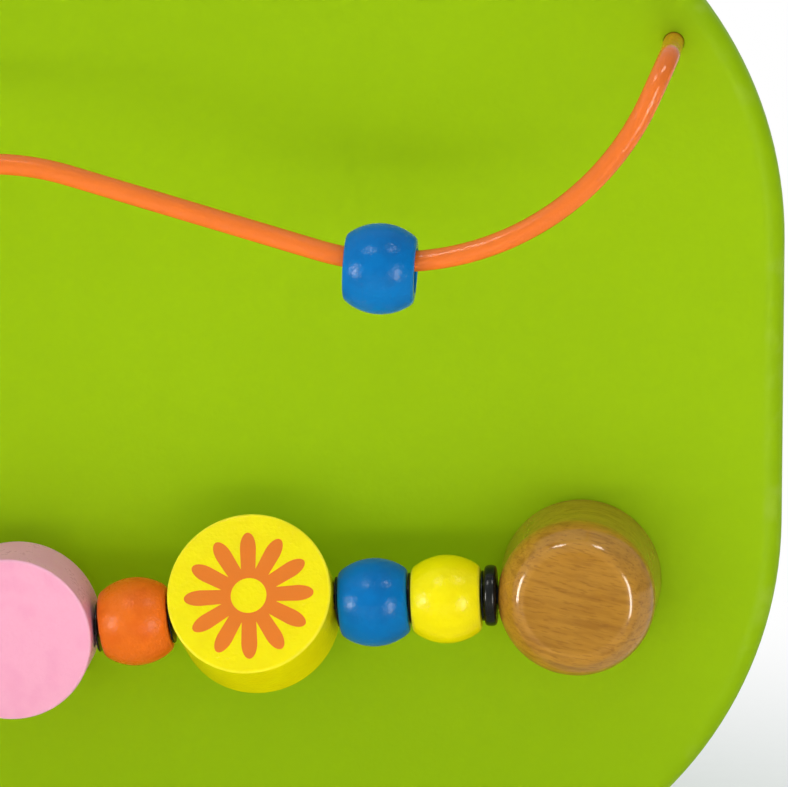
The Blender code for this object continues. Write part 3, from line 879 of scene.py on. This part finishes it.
def outermost(points, axis):
    """The points that lie furthest along an axis."""
    return points[points[:, axis] > points[:, axis].max() - NEAR]


BOARD_CORNER = BOARD_WIDTH / 2 - float(outermost(points_of("base_board"), 2)[:, 0].max())
wire_ends = outermost(points_of("bead_wire"), 1)
wire_foot = wire_ends[wire_ends[:, 0] > 0]
FOOT = Vector((wire_foot.min(0) + wire_foot.max(0)) / 2)
WIRE_RADIUS = float(np.ptp(wire_foot[:, 2])) / 2


def round_hole(radius, low, high):
    return prism(arc((0, 0), radius, 0, 360, HOLE_STEPS)[:-1], low, high)


holes = [screw_hole(node) for node in screws]
for word, side in SIDES:
    socket = facing((FOOT.x * side, FOOT.y, FOOT.z), FRONT)
    holes.append((round_hole(WIRE_RADIUS + SEAT_PLAY / 2, -SEAT_PLAY, BOARD_THICKNESS), socket))
    place, points = measure(f"hanger_plate_{word}", -FRONT, -RIGHT)
    wide, tall, deep = 2 * points.max(0) + 2 * SEAT_PLAY
    seat = rounded_outline(wide, tall, PLATE_CORNER + SEAT_PLAY, PLATE_STEPS)
    pocket_height = POCKET_WIDTH + KEYHOLE_RISE
    pocket = rounded_outline(POCKET_WIDTH, pocket_height, KEYHOLE_ENTRY / 2, PLATE_STEPS)
    holes.append((prism(seat, -deep / 2, deep / 2 + PAST), place))
    holes.append((prism(pocket, deep / 2 - POCKET_DEPTH, deep / 2 + PAST), place))
edge = rounded_edge(BOARD_THICKNESS, BACK_ROUND, FRONT_ROUND, BOARD_EDGE_STEPS)
slab = panel(BOARD_WIDTH, BOARD_HEIGHT, BOARD_CORNER, edge, BOARD_STEPS)
middle = (board_low + board_high) / 2
dress("base_board", "lacquered", slab, facing((middle.x, board_high.y, middle.z), FRONT), holes)
print("board corner:", round(BOARD_CORNER / MM, 1), "mm, holes cut:", len(holes))

# %% [markdown]
# ## Posts
#
# Each post is turned from one block: a side that narrows a little, a sloping shoulder and a flat
# top. The eased edge round the top is what catches the lamps. The post is bored from the side for
# the cord's ferrule and from the back for its screw. The ferrule is a short brass sleeve, crimped
# in two places round the end of the cord.

# %% Make the posts and the ferrules
POST_SHOULDER_RADIUS = 14.6 * MM
POST_SHOULDER_DROP = 4.8 * MM
POST_SHOULDER_ROUND = 2.4 * MM
POST_TOP_RADIUS = 10.9 * MM
POST_TOP_ROUND = 2 * MM
POST_FOOT_ROUND = 0.5 * MM
POST_ROUND_STEPS = 8
POST_STEPS = 128
BORE_PLAY = 0.3 * MM
CRIMPS = 2
CRIMP_DEPTH = 0.22 * MM
CRIMP_LENGTH = 1.6 * MM
FERRULE_ROWS = 28
FERRULE_END_ROWS = 2
FERRULE_ROUND = 0.35 * MM
FERRULE_ROUND_STEPS = 5


def make_post(word, side):
    node = f"post_{word}"
    place, _, base, tall = turned_sizes(node, FRONT, RIGHT)
    corners = [
        (0, -tall, 0),
        (base, -tall, POST_FOOT_ROUND),
        (POST_SHOULDER_RADIUS, tall - POST_SHOULDER_DROP, POST_SHOULDER_ROUND),
        (POST_TOP_RADIUS, tall, POST_TOP_ROUND),
        (0, tall, 0),
    ]
    ferrule = f"cord_ferrule_{word}"
    tube, inner, outer, half = turned_sizes(ferrule, RIGHT * -side, FRONT)
    bore = round_hole(outer + BORE_PLAY, -half - SEAT_PLAY, half + 2 * base)
    post = lathe(soften(corners, POST_ROUND_STEPS), POST_STEPS)
    dress(node, "varnished", post, place, [screw_hole(f"post_screw_{word}"), (bore, tube)])

    def crimp(_, height):
        spots = [half * (2 * k + 1 - CRIMPS) / CRIMPS for k in range(CRIMPS)]
        near = min(abs(height - spot) for spot in spots) / CRIMP_LENGTH
        return -CRIMP_DEPTH * max(0.0, 1 - near**2)

    levels = range(FERRULE_END_ROWS, FERRULE_ROWS - FERRULE_END_ROWS + 1)
    rows = [half * (2 * k / FERRULE_ROWS - 1) for k in levels]
    corners = [(inner, -half, FERRULE_ROUND), (outer, -half, FERRULE_ROUND)]
    corners += [(outer, height, 0) for height in rows]
    corners += [(outer, half, FERRULE_ROUND), (inner, half, FERRULE_ROUND)]
    corners += [(inner, height, 0) for height in reversed(rows)]
    sleeve = lathe(soften(corners, FERRULE_ROUND_STEPS), HOLE_STEPS, crimp)
    return dress(ferrule, "crimped", sleeve, tube)


ferrules = [make_post(word, side) for word, side in SIDES]
print("posts and ferrules: 2 of each")

# %% [markdown]
# ## Rings and washers
#
# A thick rubber ring keeps the row off each post, and a thin washer sits between each pair of
# pieces so that they spin freely. All have full, rounded edges.

# %% Make the rings and washers
ROUND_SHARE = 0.42
RING_STEPS = 64


def make_ring(node):
    place, inner, outer, half = turned_sizes(node, broadest_face(node, RIGHT), FRONT)
    full = 2 * half * ROUND_SHARE
    corners = [(inner, -half, full / 2), (outer, -half, full), (outer, half, full)]
    corners += [(inner, half, full / 2)]
    dress(node, "rubber", lathe(soften(corners), RING_STEPS), place)


ring_nodes = [node for node in frame["nodes"] if "ring" in node or "washer" in node]
for node in ring_nodes:
    make_ring(node)
print("rings and washers:", len(ring_nodes))

# %% [markdown]
# ## Beads
#
# A bead is a short barrel: its side follows a circle a little larger than the bead, its ends are
# flat, and the mouth of its bore is eased so that it doesn't cut the cord. The beads on the wire
# have the same outside and a wider bore.

# %% Turn the beads
CROWN_RADIUS = 9.8 * MM
CROWN_ROWS = 22
BEAD_END_ROUND = 0.7 * MM
BEAD_MOUTH_ROUND = 0.45 * MM
BEAD_STEPS = 72


def make_bead(node):
    place, inner, outer, half = turned_sizes(node, broadest_face(node, RIGHT), FRONT)

    def crown(height):
        return outer - CROWN_RADIUS + math.sqrt(CROWN_RADIUS**2 - height**2)

    corners = [(inner, -half, BEAD_MOUTH_ROUND), (crown(half), -half, BEAD_END_ROUND)]
    reach = half - BEAD_END_ROUND
    for k in range(CROWN_ROWS + 1):
        height = -reach + 2 * reach * k / CROWN_ROWS
        corners.append((crown(height), height, 0))
    corners += [(crown(half), half, BEAD_END_ROUND), (inner, half, BEAD_MOUTH_ROUND)]
    dress(node, "turned", lathe(soften(corners), BEAD_STEPS), place)


beads = [node for node in frame["nodes"] if node.split("_")[1] == "bead" and node in HINGES]
for node in beads:
    make_bead(node)
print("beads:", len(beads))

# %% [markdown]
# ## Discs
#
# The discs are thick slices of a round rod with eased edges, bored right through from rim to rim
# for the cord. The bore's mouths are flared a little by a countersink, which also removes the
# paint that gathers there. One cutter is turned to the shape of the bore and both flares, because
# three cutters that touch would leave slivers.

# %% Turn the discs
DISC_ROUND = 0.6 * MM
MOUTH_FLARE = 0.5 * MM
DISC_STEPS = 96
DISC_PLACE = {}


def make_disc(node):
    axis = Vector(HINGES[node]["axis"])
    place, points = measure(node, broadest_face(node, FRONT), axis if axis.x > 0 else -axis)
    radius, half = radii_about(points, 2)[1], points[:, 2].max()
    bore = radii_about(points, 0)[0]
    corners = [(0, -half, 0), (radius, -half, DISC_ROUND)]
    corners += [(radius, half, DISC_ROUND), (0, half, 0)]
    wide, far = bore + 2 * MOUTH_FLARE, radius + PAST
    flare = [(bore, radius - MOUTH_FLARE, 0), (wide, radius + MOUTH_FLARE, 0)]
    flare += [(wide, far, 0), (0, far, 0)]
    drill = [(reach, -height, 0) for reach, height, _ in reversed(flare)] + flare
    hole = (lathe(drill, HOLE_STEPS), place @ facing((0, 0, 0), RIGHT, UP))
    dress(node, "turned", lathe(soften(corners), DISC_STEPS), place, [hole])
    DISC_PLACE[node] = (place, half)


for node in ("flower_disc_left", "centre_disc", "flower_disc_right"):
    make_disc(node)
print("discs:", len(DISC_PLACE))

# %% [markdown]
# ## Daisies
#
# A plain daisy with twelve petals is screen printed on both faces of the yellow discs. Each petal
# widens towards a rounded tip, and the centre is left bare. The ink is a real layer, as thin as a
# hair, so that it turns with the disc and its edge stays sharp in every view.

# %% Print the daisies
PETALS = 12
PETAL_TIP = 12.15 * MM
PETAL_SHOULDER = 9.1 * MM
PETAL_HALF_WIDTH = 1.5 * MM
PETAL_ROOT_HALF_WIDTH = 1.36 * MM
PETAL_TIP_ROWS = 12
BARE_CENTRE = 3.35 * MM
INK_THICKNESS = 0.05 * MM
DAISY_TURN = math.radians(-2.5)
DAISY_DROP = 0.5 * MM
FACE_TURNS = {"front": 0, "back": math.pi}

ink = Finish("daisy_ink", specular_ior_level=0.06)
where = ink.place()
mesh_marks = ink.noise(where, 0.5 * MM)
coverage = ink.noise(where, 3 * MM, 3)
ink.paint("Base Color", ink.blend(coverage, (0.8, 0.19, 0.018), (0.78, 0.2, 0.024)))
ink.paint("Roughness", 0.42 + mesh_marks * 0.15)
ink.bump(mesh_marks, 0.02 * MM)


def daisy_outline():
    """Outer edge of the daisy as complex numbers, anticlockwise."""
    half_turn = math.pi / PETALS
    root = PETAL_ROOT_HALF_WIDTH / math.tan(half_turn)
    petal = [complex(root, -PETAL_ROOT_HALF_WIDTH)]
    for k in range(PETAL_TIP_ROWS + 1):
        t = math.pi * (k / PETAL_TIP_ROWS - 0.5)
        reach = PETAL_SHOULDER + (PETAL_TIP - PETAL_SHOULDER) * math.cos(t)
        petal.append(complex(reach, PETAL_HALF_WIDTH * math.sin(t)))
    turns = [complex(math.cos(t), math.sin(t)) for t in np.arange(PETALS) * 2 * half_turn]
    return [point * turn for turn in turns for point in petal]


def print_daisy(node, word):
    place, half = DISC_PLACE[node]
    outline = daisy_outline()
    inside = [BARE_CENTRE * point / abs(point) for point in outline]
    rings = []
    for shape, level in ((inside, -1), (outline, -1), (outline, 1), (inside, 1)):
        height = half + level * INK_THICKNESS
        rings.append([(Vector((p.real, p.imag, height)), 0.0) for p in shape])
    flip = Matrix.Rotation(FACE_TURNS[word], 4, "X")
    set_off = Matrix.Translation((0, -DAISY_DROP, 0)) @ Matrix.Rotation(DAISY_TURN, 4, "Z")
    spot = place @ flip @ set_off
    layer = skin(rings, closed=True, capped=False)
    piece = add_piece(f"daisy_{word}_{node}", layer, spot, ink.material)
    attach(piece, BODY_OF[node])


for node in ("flower_disc_left", "flower_disc_right"):
    for word in FACE_TURNS:
        print_daisy(node, word)
print("daisies: 4, of", PETALS, "petals")

# %% [markdown]
# ## Cord
#
# The cord is braided, three millimetres thick, and runs taut with a slight bow through the whole
# row into the ferrules. The model's cord is a tube of plain rings, and the middles of those rings
# give the route. The braid is a ripple on the radius: two sets of strands wind in opposite
# directions and take turns on top.


# %% Braid the cord
def sweep(path, steps, radius_at):
    """Tube along a path. The radius comes from the angle round it and the distance along it."""
    path = [Vector(point) for point in path]
    rings = []
    distance = 0.0
    out = None
    for i, point in enumerate(path):
        onward = (path[min(i + 1, len(path) - 1)] - path[max(i - 1, 0)]).normalized()
        out = onward.orthogonal() if out is None else out - onward * out.dot(onward)
        out.normalize()
        aside = onward.cross(out)
        distance += (point - path[max(i - 1, 0)]).length
        ring = []
        for k in range(steps):
            angle = math.tau * k / steps
            reach = radius_at(angle, distance)
            spot = point + (out * math.cos(angle) + aside * math.sin(angle)) * reach
            ring.append((spot, 0.0))
        rings.append(ring)
    return skin(rings, closed=False, capped=True)


CORD_SIDES = 48
STRANDS = 4
BRAID_PITCH = 7 * MM
BRAID_RELIEF = 0.13 * MM
CORD_ROW = 0.35 * MM
CORD_RING_GAP = 0.8 * MM

cord_points = points_of("bead_cord")
cord_points = cord_points[np.argsort(cord_points[:, 0])]
breaks = np.flatnonzero(np.diff(cord_points[:, 0]) > CORD_RING_GAP) + 1
middles = np.array([ring.mean(0) for ring in np.split(cord_points, breaks)])
cord_low, cord_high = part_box("bead_cord")
CORD_RADIUS = (cord_high.y - cord_low.y) / 2
count = round((cord_high.x - cord_low.x) / CORD_ROW)
across = np.linspace(cord_low.x, cord_high.x, count + 1)
route = np.stack([np.interp(across, middles[:, 0], middles[:, axis]) for axis in range(3)], 1)


def braid(angle, distance):
    wind = math.tau * distance / BRAID_PITCH
    over = math.sin(STRANDS * (angle + wind)) * math.sin(STRANDS * (angle - wind))
    return CORD_RADIUS - BRAID_RELIEF * (0.5 - 0.5 * over)


cord = dress("bead_cord", "braided", sweep(route, CORD_SIDES, braid), Matrix())

# %% [markdown]
# ## Wire
#
# The wire is bent in a flat wave of two valleys and a crest, and its ends turn back into the
# board. The route repeats the bends of the model in finer steps, so its highlight runs smoothly.
# It is laid from the middle of the crest to the right foot and then mirrored.

# %% Bend the wire
WIRE_BEND = 50 * MM
WIRE_SLOPE = 16.25
WIRE_END = 66
FOOT_BEND = 8 * MM
FOOT_BEND_STEPS = 24
BEND_STEP = 1.5
SLOPE_ROWS = 20
FOOT_ROWS = 12
WIRE_SIDES = 32

WIRE_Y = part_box("bead_wire")[0].y + WIRE_RADIUS
pivot = Vector(HINGES["wire_bead_right"]["pos_m"])
slope = math.radians(WIRE_SLOPE)
run = (pivot.x - 2 * WIRE_BEND * math.sin(slope)) / math.cos(slope)
crest_z = pivot.z + WIRE_BEND - 2 * WIRE_BEND * math.cos(slope) + run * math.sin(slope)


def bend(centre, start, end):
    """Arc of the wire in its flat wave, with angles in degrees."""
    steps = round(abs(end - start) / BEND_STEP)
    return [Vector((x, WIRE_Y, z)) for x, z in arc(centre, WIRE_BEND, start, end, steps)]


crest = bend((0, crest_z - WIRE_BEND), 90, 90 - WIRE_SLOPE)
valley = bend((pivot.x, pivot.z), 270 - WIRE_SLOPE, 270 + WIRE_END)
between = [crest[-1].lerp(valley[0], k / SLOPE_ROWS) for k in range(1, SLOPE_ROWS)]
line = crest + between + valley
end = math.radians(WIRE_END)
onward = Vector((math.cos(end), 0, math.sin(end)))
for rest, ahead in arc((0, 0), FOOT_BEND, 0, 90, FOOT_BEND_STEPS)[1:]:
    line.append(valley[-1] + onward * ahead - FRONT * (FOOT_BEND - rest))
turned = line[-1]
foot = Vector((turned.x, FOOT.y, turned.z))
line += [turned.lerp(foot, k / FOOT_ROWS) for k in range(1, FOOT_ROWS + 1)]
route = [Vector((-point.x, point.y, point.z)) for point in line[:0:-1]] + line
wire = sweep(route, WIRE_SIDES, lambda angle, distance: WIRE_RADIUS)
dress("bead_wire", "coated", wire, Matrix())
print("wire:", len(route), "points, crest", round(crest_z / MM, 1), "mm above the middle")

# %% [markdown]
# ## Floor and surroundings
#
# The board stands on a plain pale floor that runs far enough to fill every view. Close to the
# board the floor is ordinary paper and takes its shadow. Further off it turns white for the camera
# and for reflections, as a lit studio sweep does. Parts of the narrow boxes hang lower than the
# floor, so light linking lets them shine through it, and it keeps the low panel off the floor. The
# surroundings are brightest on the upper left and dim on the lower right.

# %% Lay the floor
FLOOR_REACH = 40000 * MM
FLOOR_SIDES = 64
SHADOW_NEAR = 50 * MM
SHADOW_FAR = 350 * MM
BRIGHT_SIDE = (-0.62, -0.1, 0.78)
BRIGHT = (1.0, 1.1, 1.14)
DIM = (0.05, 0.06, 0.07)

sheet = lathe([(0, 0, 0), (FLOOR_REACH, 0, 0)], FLOOR_SIDES)
floor = add_piece("paper_floor", sheet, Matrix.Translation((0, 0, cad_box[0].z)))
paper = Finish("studio_paper", specular_ior_level=0.1)
where = paper.place()
fibres = paper.noise(where, 4 * MM, 4)
paper.paint("Base Color", paper.blend(fibres, (0.865, 0.835, 0.8), (0.825, 0.795, 0.76)))
paper.paint("Roughness", 0.8 + fibres * 0.1)
away = paper.node("VectorMath", {"operation": "LENGTH"}, {0: where})["Value"]
rays = paper.node("LightPath", {}, {})
seen = rays["Is Camera Ray"] + rays["Is Glossy Ray"]
glow = paper.node("Emission", {}, {"Color": (1, 1, 1)})
white = seen * paper.fade(away, SHADOW_NEAR, SHADOW_FAR)
matt = Signal(paper, paper.surface.outputs[0])
mixed = paper.node("MixShader", {}, {0: white, 1: matt, 2: glow})
paper.feed(paper.tree.nodes["Material Output"], "Surface", mixed)
floor.data.materials.append(paper.material)
floor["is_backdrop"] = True
see_through = bpy.data.collections.new("floor_for_lamps")
see_through.objects.link(floor)
see_through.collection_objects[0].light_linking.link_state = "EXCLUDE"
for box in highlights:
    box.light_linking.blocker_collection = see_through
low_panel.light_linking.receiver_collection = see_through

world = bpy.data.worlds.new("studio")
world.use_nodes = True
surroundings = Recipe(world.node_tree)
towards = surroundings.node("TexCoord", {}, {})["Generated"]
both = {0: towards, 1: BRIGHT_SIDE}
lean = surroundings.node("VectorMath", {"operation": "DOT_PRODUCT"}, both)
light = surroundings.blend(lean * 0.5 + 0.5, DIM, BRIGHT)
surroundings.feed(world.node_tree.nodes["Background"], "Color", light)
scene.world = world
print("floor at", round(cad_box[0].z / MM, 1), "mm")

# %% [markdown]
# ## Sizes
#
# Nothing here may change the object's size, so the box of all pieces is compared with the imported
# one.

# %% Compare the sizes
box_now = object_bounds()
grown = [abs(now[i] - cad[i]) / MM for now, cad in zip(box_now, cad_box) for i in range(3)]
print("largest change of the box:", round(max(grown), 3), "mm")
